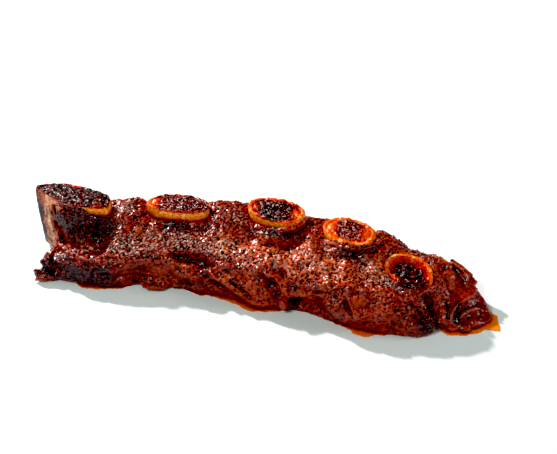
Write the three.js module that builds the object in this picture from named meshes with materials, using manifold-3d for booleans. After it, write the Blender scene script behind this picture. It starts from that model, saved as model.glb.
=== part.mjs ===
// A rack of roasted short ribs, sawn straight across the ribs into one thick strip.
// The strip lies on one sawn side. Five rib ends stand out of the meat along its back edge, and the
// meat slopes from them to a thick front edge. Each rib is a ring of hard bone round a spongy core,
// and it runs through the strip from the top to the surface that the strip lies on.
//
// Millimetres, +Z up. X runs along the rack, and Y from the meat's front edge to the bone side.
// The origin is under the middle of the rack, on the surface that it lies on.

import * as THREE from "three";
import { mergeVertices } from "three/addons/utils/BufferGeometryUtils.js";
import { ImprovedNoise } from "three/addons/math/ImprovedNoise.js";
import Module from "manifold-3d";

const wasm = await Module();
wasm.setup();

// ---- Driving sizes ----
// Places along and across the rack are counted from a point near its middle rib. The whole rack is
// then set down with its middle over the origin.

const UNDER_THE_MIDDLE = [2, 0.6, 0];
const MEAT_START = -129;
const MEAT_END = 137;
const BONE_WALL = 2.6; // hard bone round the spongy core
const BONE_PROUD = 6.5; // how far the roasted meat has drawn down from the rib ends
const BACK_COVER = 3.2; // meat and membrane behind the bones
const FIT_GAP = 0.3; // between a bone and its socket, and a core and its bone
const CROSS_GRAIN = 20; // spacing of the meat's big lumps
const LUMP_HEIGHT = 3.2;
const FINE_GRAIN = 9; // spacing of its crags
const CRAG_HEIGHT = 4.6;

// One rib: its centre, half its length and half its width across the cut, the turn of its oval,
// the height of its sawn top, how far that top tips towards the front, how far its core has sunk,
// and how deep the meat has drawn back in front of it.
const RIBS = [
  { x: -115.5, y: 4.2, halfLength: 24.5, halfWidth: 9.4, turn: -6, top: 41, tip: 0, sunk: -0.4, hollow: 21 },
  { x: -53, y: 10.8, halfLength: 18.6, halfWidth: 9, turn: 5, top: 40.5, tip: 0, sunk: 0.3, hollow: 2 },
  { x: 4.2, y: 18.4, halfLength: 17.4, halfWidth: 9.8, turn: -8, top: 40, tip: 2, sunk: 0.6, hollow: 5 },
  { x: 49, y: 10.8, halfLength: 15.6, halfWidth: 10, turn: -12, top: 38, tip: 3, sunk: 0.6, hollow: 4.5 },
  { x: 86, y: -5.5, halfLength: 14.4, halfWidth: 10.4, turn: -20, top: 29, tip: 5.5, sunk: 3, hollow: 1.5 },
];

// ---- Helpers ----

const noise = new ImprovedNoise();
const clamp01 = (t) => Math.min(1, Math.max(0, t));
const mix = (a, b, t) => a + (b - a) * t;

function smooth(t, low, high) {
  const s = clamp01((t - low) / (high - low));
  return s * s * (3 - 2 * s);
}

// A smooth curve through [x, value] knots, level past both ends.
function profile(knots) {
  const xs = knots.map((k) => k[0]);
  const curve = new THREE.CubicInterpolant(xs, knots.map((k) => k[1]), 1, [0]);
  return (x) => curve.evaluate(Math.min(xs[xs.length - 1], Math.max(xs[0], x)))[0];
}

function weld(geometry) {
  geometry.deleteAttribute("normal");
  geometry.deleteAttribute("uv");
  return mergeVertices(geometry, 1e-4);
}

// Moves every point of a geometry by the function move.
function reshape(geometry, move) {
  const position = geometry.getAttribute("position");
  const point = new THREE.Vector3();
  for (let i = 0; i < position.count; i++) {
    point.fromBufferAttribute(position, i);
    move(point, i);
    position.setXYZ(i, point.x, point.y, point.z);
  }
  return geometry;
}

function solid(geometry) {
  const welded = weld(geometry);
  return new wasm.Manifold(
    new wasm.Mesh({
      numProp: 3,
      vertProperties: new Float32Array(welded.getAttribute("position").array),
      triVerts: new Uint32Array(welded.index.array),
    }),
  );
}

function piece(name, body, material) {
  const made = body.getMesh();
  const geometry = new THREE.BufferGeometry();
  geometry.setAttribute("position", new THREE.BufferAttribute(made.vertProperties, 3));
  geometry.setIndex(new THREE.BufferAttribute(made.triVerts, 1));
  geometry.computeVertexNormals();
  const mesh = new THREE.Mesh(geometry, material);
  mesh.name = name;
  return mesh;
}

// ---- Bones ----

const BONE_SIDES = 26;
const OVAL_POWER = 2.3; // a little squarer than an ellipse
const RIB_LEAN = 3.5; // how far each rib runs to the right on its way down
const CRUST_HEIGHT = 0.7; // unevenness of the roasted sawn tops
const FIRST_RIB_LIFT = 2.5; // the first rib's lower end hangs just clear

// The point of a rib's oval at an angle, with its half sizes made smaller by inset.
function ovalPoint(rib, angle, inset) {
  const round = 2 / OVAL_POWER;
  const c = Math.cos(angle);
  const s = Math.sin(angle);
  const wave = 1 + 0.03 * Math.sin(3 * angle + rib.x) + 0.02 * Math.sin(5 * angle + rib.y);
  const along = (rib.halfLength - inset) * Math.sign(c) * Math.abs(c) ** round * wave;
  const across = (rib.halfWidth - inset) * Math.sign(s) * Math.abs(s) ** round * wave;
  const turn = THREE.MathUtils.degToRad(rib.turn);
  return [along * Math.cos(turn) - across * Math.sin(turn), along * Math.sin(turn) + across * Math.cos(turn)];
}

// The height of a rib's sawn top at a place beside its centre.
const sawnTop = (rib, y) => rib.top + (rib.tip * y) / (2 * rib.halfWidth);

// A rib's prism or tube. The lathe's profile gives, for each ring of points, the share of the full
// oval as its radius and the share of the height as its height.
function ribSolid(rib, rings, inset, bottom, sunk) {
  const lathe = new THREE.LatheGeometry(rings.map(([r, h]) => new THREE.Vector2(r, h)), BONE_SIDES);
  lathe.rotateX(Math.PI / 2);
  reshape(lathe, (p) => {
    const share = Math.hypot(p.x, p.y);
    const [ox, oy] = ovalPoint(rib, Math.atan2(p.y, p.x), inset);
    const x = ox * share;
    const y = oy * share;
    const crust = CRUST_HEIGHT * noise.noise((rib.x + x) / 4, y / 4, 7.5);
    const z = mix(bottom, sawnTop(rib, y) - sunk + crust, p.z);
    p.set(rib.x + x + RIB_LEAN * (1 - z / rib.top), rib.y + y, z);
  });
  return solid(lathe);
}

const OUTER_RINGS = [[0, 0], [1, 0], [1, 0.97], [0.96, 1], [0, 1]];
const CORE_RINGS = [[0, 0], [1, 0], [1, 0.97], [0.85, 1], [0.5, 1], [0, 1]];
const BORE_RINGS = [[0, -0.1], [1, -0.1], [1, 1.2], [0, 1.2]];
const SOCKET_RINGS = [[0, -0.1], [1, -0.1], [1, 1.4], [0, 1.4]];

const CORE_RAISED = 0.4; // a core's lower end stays inside its bone
const ribBottom = (rib) => (rib === RIBS[0] ? FIRST_RIB_LIFT : 0);

// The first rib ends the rack: the saw has taken a slice off its front left side. What is left of
// its hard bone is as thick there as elsewhere, so the core keeps that far behind the cut.
const SAW_CUT = { point: [-121.6, -3.4, 38], heading: -26.5, size: 90 };

function sawnAway(behind) {
  const block = new THREE.BoxGeometry(SAW_CUT.size, SAW_CUT.size, SAW_CUT.size);
  block.translate(0, behind - SAW_CUT.size / 2, 0);
  block.rotateX(THREE.MathUtils.degToRad(-4));
  block.rotateZ(THREE.MathUtils.degToRad(SAW_CUT.heading));
  block.translate(...SAW_CUT.point);
  return solid(block);
}

// ---- Meat ----

const frontEdge = profile([
  [-129, -25], [-116, -29], [-98, -29.5], [-80, -26.5], [-66, -21.5], [-46, -20], [-34, -21.5], [-22, -21.5], [-9, -23.5],
  [2, -27.5], [18, -24.5], [30, -25], [48, -29], [72, -32.5], [92, -31.5], [103, -26.5], [109, -19.5], [124, -18], [137, -10],
]);
const backEdge = profile([
  ...RIBS.slice(0, 4).map((r) => [r.x, r.y + r.halfWidth + BACK_COVER]), [68, 22], [86, 20], [100, 20.5], [113, 19.5],
  [123, 14], [131, 4.5], [137, -4],
]);
const shoulderHeight = profile([
  [-129, 9], [-106, 16], [-67, 19], [-33, 21], [-9, 24], [16, 25], [45, 27], [70, 25], [91, 20], [105, 14], [118, 7.5],
  [129, 4], [137, 2],
]);
// How far behind the front edge the shoulder is. Under the second rib the front stands nearly upright.
const shoulderInset = profile([[-129, 7], [-112, 5], [-98, 3.5], [-82, 3], [-44, 3], [-32, 5.5], [-20, 8], [137, 8]]);
// The crest is the highest line of the upper side: beside the first four ribs it runs along their
// fronts, and then it swings behind the fifth.
const crestLine = profile([
  [-129, 0], [-115, -5.5], [-92, -5], ...RIBS.slice(1, 4).map((r) => [r.x, r.y - r.halfWidth]), [70, 4], [86, 13],
  [113, 13.5], [137, -6],
]);
const crestHeight = profile([
  [-129, 38.5], [-116, 38.8], [-105, 36], [-95, 34.5], [-83, 35], [-71, 33],
  ...RIBS.slice(1, 4).map((r) => [r.x, r.top - BONE_PROUD + 1]), [70, 32], [86, 26.5], [97, 24.5], [113, 14.5],
  [123, 8.5], [131, 4.5], [137, 2.5],
]);
// The line along the fronts of the ribs. The first one is cut slantwise at its left end.
const ribFront = profile([
  [-129, 1.5], [-121, -4], [-108, -6.3], [-95, -6.5], ...RIBS.slice(1).map((r) => [r.x, r.y - r.halfWidth]), [110, -13],
]);

const SLOPE_BULGE = 2.5; // how far the slope between shoulder and crest swells
const SADDLE_RISE = 2.5; // how far the crest stands higher between two ribs
const HOLLOW_RISE = 4.5; // how far the floor of a hollow climbs from the shoulder to the crest line

// How strongly each rib shapes the meat at x: 1 beside it, 0 between two ribs.
const beside = (rib, x) => 1 - smooth(Math.abs(x - rib.x), 0.7 * rib.halfLength, 1.4 * rib.halfLength);

// The height of the meat's upper side, between the shoulder above the front edge and the back. The
// hollow in front of a rib has a floor, which starts at the shoulder and climbs towards the rib.
function upperSide(x, y, shoulder) {
  const t = clamp01((y - shoulder) / (crestLine(x) - shoulder));
  const inFront = ribFront(x) - y;
  const pit = smooth(inFront, 0.8, 4.5) * (1 - smooth(inFront, 6, 19));
  const hollow = RIBS.reduce((sum, rib) => sum + rib.hollow * beside(rib, x), 0);
  const saddle = RIBS.reduce((sum, rib) => sum - beside(rib, x), 1) * (1 - smooth(x, 95, 110));
  const slope = mix(shoulderHeight(x), crestHeight(x), t) + SLOPE_BULGE * Math.sin(Math.PI * t);
  return Math.max(slope + SADDLE_RISE * saddle * t - hollow * pit, shoulderHeight(x) + HOLLOW_RISE * t);
}

// The meat's section at x, from the foot of the front edge over the upper side to the foot of the
// back. Its underside is flat.
const FRONT_SHARE = 0.28;
const TOP_SHARE = 0.78;
const BACK_ROUND = 4.5;
const FOOT_TUCK = 1.8;

class MeatSection extends THREE.Curve {
  constructor(x) {
    super();
    this.x = x;
  }

  getPoint(share, target = new THREE.Vector3()) {
    const x = this.x;
    const inset = shoulderInset(x);
    const shoulder = frontEdge(x) + inset;
    const backTop = backEdge(x) - BACK_ROUND;
    if (share < FRONT_SHARE) {
      const a = (share / FRONT_SHARE) * (Math.PI / 2);
      const z = shoulderHeight(x) * Math.sin(a) ** 0.9;
      const tuck = FOOT_TUCK * (1 - smooth(z, 0, 5));
      return target.set(x, shoulder - inset * Math.cos(a) ** 0.9 + tuck, z);
    }
    if (share < TOP_SHARE) {
      const y = mix(shoulder, backTop, (share - FRONT_SHARE) / (TOP_SHARE - FRONT_SHARE));
      return target.set(x, y, upperSide(x, y, shoulder));
    }
    const a = ((share - TOP_SHARE) / (1 - TOP_SHARE)) * (Math.PI / 2);
    const z = upperSide(x, backTop, shoulder) * Math.max(0, Math.cos(a)) ** 0.8;
    return target.set(x, backTop + BACK_ROUND * Math.sin(a) ** 0.6, z);
  }
}

// Folds and furrows of the muscle, along lines on its surface: each a soft ridge, or a furrow where
// its height is below zero.
const FOLDS = [
  // under the second rib
  { along: [[-54, -17, 19], [-47, -18, 15], [-38, -20, 14], [-33, -20, 15]], height: 2.4, width: 3 },
  { along: [[-44, -14, 21], [-33, -17, 21], [-28, -18, 19]], height: -2.6, width: 3.5 },
  { along: [[-27, -19, 17], [-22, -21, 14], [-8, -24, 9]], height: 3, width: 3.2 },
  { along: [[-23, -21, 17], [-10, -23, 19]], height: -2.4, width: 3.2 },
  // under the third
  { along: [[7, -23, 26], [14, -22, 22], [17, -22, 17], [19, -24, 11]], height: 3, width: 3 },
  { along: [[4, -25, 22], [11, -23, 17], [14, -23, 13]], height: -4, width: 4 },
  { along: [[25, -25, 14], [35, -27, 20], [44, -26, 28], [51, -27, 29]], height: 2.8, width: 3.2 },
  { along: [[25, -25, 7], [37, -27, 10]], height: -3.5, width: 5 },
  // under the fourth
  { along: [[46, -30, 18], [54, -31, 11]], height: 3.4, width: 5 },
  { along: [[66, -24, 27], [55, -28, 26], [57, -31, 19], [64, -31, 11]], height: 2.6, width: 3.2 },
  { along: [[60, -24, 24], [72, -27, 17], [84, -31, 9]], height: -2, width: 4 },
  // round the fifth
  { along: [[101, -13, 22], [103, -18, 17], [105, -23, 13], [108, -27, 8]], height: -6, width: 3.2 },
  { along: [[91, -22, 18], [96, -27, 17], [101, -28, 12]], height: -2.6, width: 2.8 },
  { along: [[90, -17, 21], [101, -10, 22]], height: 4.5, width: 6 },
  { along: [[99, 11, 26], [103, 3, 25], [105, -4, 23]], height: -2.2, width: 2.4 },
  // the thin end of the rack, which curls up into a lip round a scoop
  { along: [[122, 1.5, 9.5], [116, -4, 9], [114, -13, 8], [113, -19, 5.5]], height: 2.4, width: 3 },
  { along: [[126, -2, 6], [120, -8, 6], [118, -15, 4.5]], height: -2.4, width: 4 },
];

function foldRelief(point) {
  const nearest = new THREE.Vector3();
  return FOLDS.reduce((sum, fold) => {
    let away = Infinity;
    for (let i = 1; i < fold.along.length; i++) {
      const stretch = new THREE.Line3(new THREE.Vector3(...fold.along[i - 1]), new THREE.Vector3(...fold.along[i]));
      away = Math.min(away, stretch.closestPointToPoint(point, true, nearest).distanceTo(point));
    }
    return sum + fold.height * Math.exp(-((away / fold.width) ** 2));
  }, 0);
}

// Rounded crags with creases between them, lower towards the thin end.
function cragRelief(p) {
  const lumps = noise.noise(p.x / CROSS_GRAIN, p.y / CROSS_GRAIN, p.z / CROSS_GRAIN + 3);
  const crags = Math.abs(noise.noise(p.x / FINE_GRAIN, p.y / FINE_GRAIN, p.z / FINE_GRAIN));
  const thinning = 1 - 0.7 * smooth(p.x, 104, 122);
  return (LUMP_HEIGHT * lumps + CRAG_HEIGHT * (crags - 0.2)) * thinning;
}

// The meat: a ball whose rings become the sections along the rack, drawn in towards both ends.
const SECTIONS = 82;
const SECTION_POINTS = 48;
const UNDERSIDE_POINTS = 5;
const END_ROUND = 6;

function sectionRing(x) {
  const ring = new MeatSection(x).getSpacedPoints(SECTION_POINTS - UNDERSIDE_POINTS);
  const backFoot = ring[ring.length - 1];
  for (let i = 1; i < UNDERSIDE_POINTS; i++) {
    ring.push(backFoot.clone().lerp(ring[0], i / UNDERSIDE_POINTS));
  }
  return ring;
}

function meatBody() {
  const ball = new THREE.SphereGeometry(1, SECTION_POINTS, SECTIONS);
  const rings = [];
  for (let i = 0; i <= SECTIONS; i++) rings.push(sectionRing(mix(MEAT_START, MEAT_END, i / SECTIONS)));
  reshape(ball, (p, i) => {
    const ring = rings[Math.floor(i / (SECTION_POINTS + 1))];
    p.copy(ring[i % (SECTION_POINTS + 1) % SECTION_POINTS]);
    const fromEnd = Math.min(p.x - MEAT_START, MEAT_END - p.x);
    const swell = Math.sqrt(1 - (1 - clamp01(fromEnd / END_ROUND)) ** 2);
    p.y = mix(mix(frontEdge(p.x), backEdge(p.x), 0.5), p.y, swell);
    p.z = mix(4, p.z, swell);
  });
  const body = weld(ball);
  body.computeVertexNormals();
  const normal = body.getAttribute("normal").clone();
  reshape(body, (p, i) => {
    const outward = new THREE.Vector3().fromBufferAttribute(normal, i);
    const offFloor = smooth(p.z, 0.5, 4);
    p.addScaledVector(outward, (foldRelief(p) + cragRelief(p)) * offFloor);
    p.z = Math.max(p.z, 0);
  });
  return solid(body);
}

// Loose-edged lumps, drips and torn strands that the long body doesn't have: the centre of each, its
// half sizes, and its turn about Z and its dip in degrees.
const SCRAPS = [
  { at: [-124, -26.5, 3.4], half: [9, 5.5, 4.2], turn: 12, dip: 0 },
  { at: [-121, -20, 8], half: [8.5, 4.6, 4.4], turn: 0, dip: 0 },
  { at: [-119, -12.5, 11], half: [9, 4.2, 3.6], turn: 20, dip: 0 },
  { at: [-60, -18.5, 2.5], half: [10, 7, 4.4], turn: 5, dip: 0 },
  { at: [18, -24.5, 7], half: [3, 3.4, 4.6], turn: 0, dip: 0 },
  { at: [94, -24.5, 6], half: [13.5, 7.5, 9.5], turn: 14, dip: 6 },
  { at: [115, -17.5, 2.5], half: [5, 4, 3], turn: 10, dip: 0 },
  { at: [115, 15, 14], half: [9, 2, 2.4], turn: -35, dip: 10 },
  { at: [120, 10.5, 11.5], half: [8, 2, 2.4], turn: -40, dip: 15 },
  { at: [124, 4.5, 7.5], half: [7, 2, 2.2], turn: -50, dip: 12 },
  { at: [66, 17, 33], half: [3.2, 3, 2.6], turn: 0, dip: 0 },
  { at: [-72, -6.5, 30], half: [2.6, 2.6, 2.4], turn: 0, dip: 0 },
];

function scrap({ at, half, turn, dip }) {
  const ball = new THREE.SphereGeometry(1, 9, 6);
  ball.scale(...half);
  ball.rotateY(THREE.MathUtils.degToRad(dip));
  ball.rotateZ(THREE.MathUtils.degToRad(turn));
  ball.translate(...at);
  reshape(ball, (p) => {
    p.x += 1.2 * noise.noise(p.y / 3, p.z / 3, at[0]);
    p.y += 1.2 * noise.noise(p.z / 3, p.x / 3, at[1]);
    p.z = Math.max(0, p.z);
  });
  return solid(ball);
}

// ---- The rack ----

const boneMaterial = new THREE.MeshStandardMaterial({ color: 0xc98a3e, roughness: 0.55, metalness: 0 });
const coreMaterial = new THREE.MeshStandardMaterial({ color: 0x2a1512, roughness: 0.7, metalness: 0 });
const meatMaterial = new THREE.MeshStandardMaterial({ color: 0x5e2115, roughness: 0.5, metalness: 0 });

const rack = new THREE.Group();
let meat = SCRAPS.reduce((body, part) => body.add(scrap(part)), meatBody());

RIBS.forEach((rib, i) => {
  const bottom = ribBottom(rib);
  let bone = ribSolid(rib, OUTER_RINGS, 0, bottom, 0);
  let bore = ribSolid(rib, BORE_RINGS, BONE_WALL, bottom, 0);
  let core = ribSolid(rib, CORE_RINGS, BONE_WALL + FIT_GAP, bottom + CORE_RAISED, rib.sunk);
  meat = meat.subtract(ribSolid(rib, SOCKET_RINGS, -FIT_GAP, bottom, 0));
  if (rib === RIBS[0]) {
    bone = bone.subtract(sawnAway(0));
    bore = bore.subtract(sawnAway(BONE_WALL));
    core = core.subtract(sawnAway(BONE_WALL + FIT_GAP));
  }
  rack.add(piece(`rib_${i + 1}`, bone.subtract(bore), boneMaterial));
  rack.add(piece(`core_${i + 1}`, core, coreMaterial));
});
rack.add(piece("meat", meat, meatMaterial));

rack.position.set(...UNDER_THE_MIDDLE);

export default rack;
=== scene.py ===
# %% [markdown]
# # Dressing a rack of roast ribs
#
# The rack is a thick strip sawn straight across five beef ribs and roasted under a sweet glaze. Its
# solids come ready made: the meat, and for each rib a ring of hard bone with a spongy core. They have
# the right size and place, but they are smooth and grey. This lesson gives each of them the surface
# that the oven gave it: a grainy bark, wet folds, browned bone and charred marrow.
#
# Blender counts in metres. The lesson works in millimetres, and `MM` turns one into the other.

# %% Load the frame
import math

import bmesh
import bpy
import numpy as np
from mathutils import Euler, Matrix, Vector, noise
from mathutils.bvhtree import BVHTree


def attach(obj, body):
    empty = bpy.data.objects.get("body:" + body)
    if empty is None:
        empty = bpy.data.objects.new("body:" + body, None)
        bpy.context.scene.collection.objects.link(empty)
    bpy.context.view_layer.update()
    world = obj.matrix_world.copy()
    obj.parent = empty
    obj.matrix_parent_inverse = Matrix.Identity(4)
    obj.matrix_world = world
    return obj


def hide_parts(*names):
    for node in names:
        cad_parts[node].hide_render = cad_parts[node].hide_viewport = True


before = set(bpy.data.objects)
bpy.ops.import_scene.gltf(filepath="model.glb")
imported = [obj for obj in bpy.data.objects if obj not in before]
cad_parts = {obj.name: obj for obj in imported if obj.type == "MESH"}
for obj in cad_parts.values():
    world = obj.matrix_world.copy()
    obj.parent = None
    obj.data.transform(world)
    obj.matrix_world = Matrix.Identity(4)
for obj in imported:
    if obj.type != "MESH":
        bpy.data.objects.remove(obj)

MM = 0.001
RIBS = sorted(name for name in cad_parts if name.startswith("rib_"))
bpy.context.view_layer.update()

# %% [markdown]
# ## Camera
#
# Food is usually looked at from a seat at the table: well above the plate, with a long lens that keeps
# the near end from swelling. The camera is set by where it looks, from which side and how far away,
# because those are easier to choose than its coordinates.

# %% Set up the camera
LOOKS_AT = Vector((-0.5, 52.6, 0)) * MM
FROM_THE_RIGHT = math.radians(13)
DOWNWARDS = math.radians(38)
CAMERA_AWAY = 863.35 * MM
# In millimetres, as on a camera with a sensor 36 mm wide.
LENS = 90

camera = bpy.data.objects.new("camera", bpy.data.cameras.new("camera"))
bpy.context.scene.collection.objects.link(camera)
towards_camera = Vector((
    math.sin(FROM_THE_RIGHT) * math.cos(DOWNWARDS),
    -math.cos(FROM_THE_RIGHT) * math.cos(DOWNWARDS),
    math.sin(DOWNWARDS),
))
camera.location = LOOKS_AT + towards_camera * CAMERA_AWAY
camera.rotation_mode = "QUATERNION"
camera.rotation_quaternion = (-towards_camera).to_track_quat("-Z", "Y")
camera.data.lens = LENS
camera.data.clip_start = 0.01
bpy.context.scene.camera = camera
print(f"the camera looks at the rack from {CAMERA_AWAY / MM:.0f} mm away")

# %% [markdown]
# ## Table and light
#
# The rack lies on a white sheet that burns out to plain white. A small hard lamp stands behind it on the
# left, rather low: it sends sparks off every wet grain that faces up and back, and throws the shadow
# towards the front right. A wider, softer lamp over the viewer lights the front slopes and gives them
# sparks of their own. The white room around is kept dim. A bright room would put a grey haze on
# everything wet, and dark meat would look dusty. A third, weak lamp from the right puts a soft gloss on
# the torn end, which the first one leaves in shadow.

# %% Light it
# Where each lamp stands, seen from the rack, and how wide it is. Distances and widths are in metres.
LAMPS_AWAY = 1.3
KEY_FROM = Vector((-1.2, 0.7, 1))
KEY_SIZE = 0.06
KEY_WATTS = 23
KEY_COLOUR = (1, 0.97, 0.95)
FILL_FROM = Vector((-0.3, -0.75, 1.0))
FILL_SIZE = 0.3
FILL_WATTS = 7
FILL_COLOUR = (0.86, 1, 0.94)
SIDE_FROM = Vector((1.2, 0.15, 0.6))
SIDE_SIZE = 0.4
SIDE_WATTS = 4
SIDE_COLOUR = (1, 0.95, 0.97)
ROOM_LIGHT = 0.17
ROOM_COLOUR = (0.88, 1, 0.96, 1)


def area_lamp(name, direction, size, watts, colour):
    """A square lamp that looks at the rack."""
    lamp = bpy.data.objects.new(name, bpy.data.lights.new(name, "AREA"))
    bpy.context.scene.collection.objects.link(lamp)
    lamp.location = direction.normalized() * LAMPS_AWAY
    lamp.rotation_mode = "QUATERNION"
    lamp.rotation_quaternion = (-direction).to_track_quat("-Z", "Y")
    lamp.data.size = size
    lamp.data.energy = watts
    lamp.data.color = colour
    print(f"{name} lamp: {watts} W, {size * 100:.0f} cm wide")


area_lamp("key", KEY_FROM, KEY_SIZE, KEY_WATTS, KEY_COLOUR)
area_lamp("fill", FILL_FROM, FILL_SIZE, FILL_WATTS, FILL_COLOUR)
area_lamp("side", SIDE_FROM, SIDE_SIZE, SIDE_WATTS, SIDE_COLOUR)

room = bpy.data.worlds.new("white room")
room.use_nodes = True
room.node_tree.nodes["Background"].inputs["Color"].default_value = ROOM_COLOUR
room.node_tree.nodes["Background"].inputs["Strength"].default_value = ROOM_LIGHT
bpy.context.scene.world = room

# %% Set the contrast and put down the sheet
# Light weaker than this, in red, green and blue, is shown as black. That keeps the hollows deep.
DARKEST_SHOWN = (0.034, 0.0315, 0.0305)
# In metres, so wide that no edge of it shows.
TABLE_SIDE = 8

view = bpy.context.scene.view_settings
view.view_transform = "Standard"
view.look = "None"
view.use_curve_mapping = True
view.curve_mapping.black_level = DARKEST_SHOWN
view.curve_mapping.update()

bpy.ops.mesh.primitive_plane_add(size=TABLE_SIDE)
table = bpy.context.object
table.name = "table"

# %% [markdown]
# ## Colours and materials
#
# Each colour is a hex value read the way a painter reads one, in sRGB. Shaders add and multiply light,
# so they want linear values, and one function turns the one into the other. A second small function
# adds a shader node with its settings and its links. Every material below is built from those two.

# %% Helpers for colours and shader nodes


def linear(hex_colour):
    """An sRGB colour such as "8a2a1c" as linear red, green, blue and alpha."""
    parts = [int(hex_colour[i:i + 2], 16) / 255 for i in (0, 2, 4)]
    return (*[c / 12.92 if c <= 0.04045 else ((c + 0.055) / 1.055) ** 2.4 for c in parts], 1)


def add(tree, kind, inputs=(), **settings):
    """Adds a shader node, and gives its inputs values or links. An input goes by its name or identifier."""
    made = tree.nodes.new("ShaderNode" + kind)
    for name, value in settings.items():
        setattr(made, name, value)
    for name, value in dict(inputs).items():
        socket = next(s for s in made.inputs if name in (s.name, s.identifier) and s.enabled)
        if isinstance(value, bpy.types.NodeSocket):
            tree.links.new(value, socket)
        else:
            socket.default_value = value
    return made


def new_material(name):
    """An empty material, with its node tree and its shader."""
    material = bpy.data.materials.new(name)
    material.use_nodes = True
    return material, material.node_tree, material.node_tree.nodes["Principled BSDF"]


def set_ramp(ramp, stops):
    """Gives a colour ramp its stops: places from 0 to 1 with hex colours."""
    elements = ramp.color_ramp.elements
    while len(elements) < len(stops):
        elements.new(0.5)
    for element, (place, hex_colour) in zip(elements, stops):
        element.position = place
        element.color = linear(hex_colour)
    return ramp.outputs["Color"]


# %% Matt white paper
# Uncoated paper scatters nearly all the light, and has next to no gloss.
paper, tree, shader = new_material("matt white paper sheet")
shader.inputs["Base Color"].default_value = linear("f7f8f8")
shader.inputs["Roughness"].default_value = 0.9
shader.inputs["Specular IOR Level"].default_value = 0.1
table.data.materials.append(paper)

# %% [markdown]
# ## From a coarse solid to an even skin
#
# A solid of a few thousand triangles can't hold a grain of pepper. A voxel remesh gives it an even net
# of small squares, and a little smoothing takes the old facets away. After that each point of the net
# can be pushed in or out along its normal, which is how all the relief below is made. It could also be
# sculpted by hand, but then nobody could change a number and get it again.

# %% Pieces and their points
# Corners closer than this are one corner.
SAME_CORNER = 0.001 * MM


def link_piece(name, mesh):
    """A new object that shows a mesh."""
    piece = bpy.data.objects.new(name, mesh)
    bpy.context.scene.collection.objects.link(piece)
    return piece


def copy_solid(node, name):
    """A solid of the frame as a new piece, with its corners merged."""
    shape = bmesh.new()
    shape.from_mesh(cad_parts[node].data)
    bmesh.ops.remove_doubles(shape, verts=shape.verts, dist=SAME_CORNER)
    mesh = bpy.data.meshes.new(name)
    shape.to_mesh(mesh)
    shape.free()
    return link_piece(name, mesh)


def even_skin(piece, square, soften):
    """Rebuilds a piece from even squares, and smooths its facets away."""
    skin = piece.modifiers.new("even squares", "REMESH")
    skin.mode = "VOXEL"
    skin.voxel_size = square
    soft = piece.modifiers.new("soften", "SMOOTH")
    soft.iterations = soften
    made = piece.evaluated_get(bpy.context.evaluated_depsgraph_get())
    mesh = bpy.data.meshes.new_from_object(made)
    piece.modifiers.clear()
    piece.data = mesh
    mesh.shade_smooth()
    print(f"{piece.name}: {len(mesh.vertices)} points")


def points_of(mesh):
    """The points of a mesh and their normals, as arrays. The points are in millimetres."""
    places = np.empty(len(mesh.vertices) * 3, np.float32)
    normals = np.empty(len(mesh.vertices) * 3, np.float32)
    mesh.vertices.foreach_get("co", places)
    mesh.vertex_normals.foreach_get("vector", normals)
    return places.reshape(-1, 3).astype(float) / MM, normals.reshape(-1, 3).astype(float)


def set_points(mesh, places):
    """Moves the points of a mesh to new places, given in millimetres."""
    mesh.vertices.foreach_set("co", (places * MM).astype(np.float32).ravel())
    mesh.update()


def keep(mesh, name, values):
    """Keeps one number for each point of a mesh, for its material to read."""
    kept = mesh.attributes.new(name, "FLOAT", "POINT")
    kept.data.foreach_set("value", np.asarray(values, np.float32))


def search_tree(mesh):
    """A search tree over a mesh. It finds the place on the mesh that is nearest to a point."""
    return BVHTree.FromPolygons([v.co for v in mesh.vertices], [p.vertices for p in mesh.polygons])


# %% Patterns and distances
# Ridged noise: how fast its finer octaves fade, how much finer each one is, how high and how sharp its
# crests are, and about the most that its octaves add up to.
RIDGE_FADE = 0.9
RIDGE_FINER = 2.1
RIDGE_HEIGHT = 1
RIDGE_SHARPNESS = 2
RIDGE_MOST = 2.2


def step(values, low, high):
    """0 below low, 1 above high and smooth between."""
    t = np.clip((values - low) / (high - low), 0, 1)
    return t * t * (3 - 2 * t)


def field(places, size, seed=0.0, stretch=(1, 1, 1)):
    """Smooth noise from -1 to 1 with lumps of about that size, in millimetres."""
    scaled = places / (np.array(stretch) * size) + seed
    return np.array([noise.noise(p) for p in scaled])


def ridges(places, size, seed=0.0, octaves=4):
    """Ridged noise, from about 0 in its creases to 1 on its crests."""
    settings = (RIDGE_FADE, RIDGE_FINER, octaves, RIDGE_HEIGHT, RIDGE_SHARPNESS)
    scaled = places / size + seed
    return np.array([noise.ridged_multi_fractal(p, *settings) for p in scaled]) / RIDGE_MOST


def away_from_line(places, line):
    """How far each point is from a line of straight stretches."""
    away = np.full(len(places), np.inf)
    for start, end in zip(np.array(line[:-1], float), np.array(line[1:], float)):
        along = end - start
        share = np.clip((places - start) @ along / (along @ along), 0, 1)
        away = np.minimum(away, np.linalg.norm(places - start - share[:, None] * along, axis=1))
    return away


def near(places, spots):
    """1 at the middle of any of the spots, fading to 0. A spot is its centre, its reach and its weight."""
    total = np.zeros(len(places))
    for centre, reach, weight in spots:
        offset = (places - np.array(centre)) / np.array(reach)
        total = np.maximum(total, weight * np.exp(-(offset ** 2).sum(1)))
    return total


def hollowness(mesh, rounds):
    """How far each point lies below (+) or above (-) the mean of its surroundings, in millimetres."""
    places, normals = points_of(mesh)
    ends = np.empty(len(mesh.edges) * 2, np.int32)
    mesh.edges.foreach_get("vertices", ends)
    a, b = ends.reshape(-1, 2).T
    count = np.bincount(ends, minlength=len(places))[:, None]
    mean = places.copy()
    for _ in range(rounds):
        total = np.zeros_like(mean)
        np.add.at(total, a, mean[b])
        np.add.at(total, b, mean[a])
        mean = total / count
    return ((mean - places) * normals).sum(1)


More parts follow.
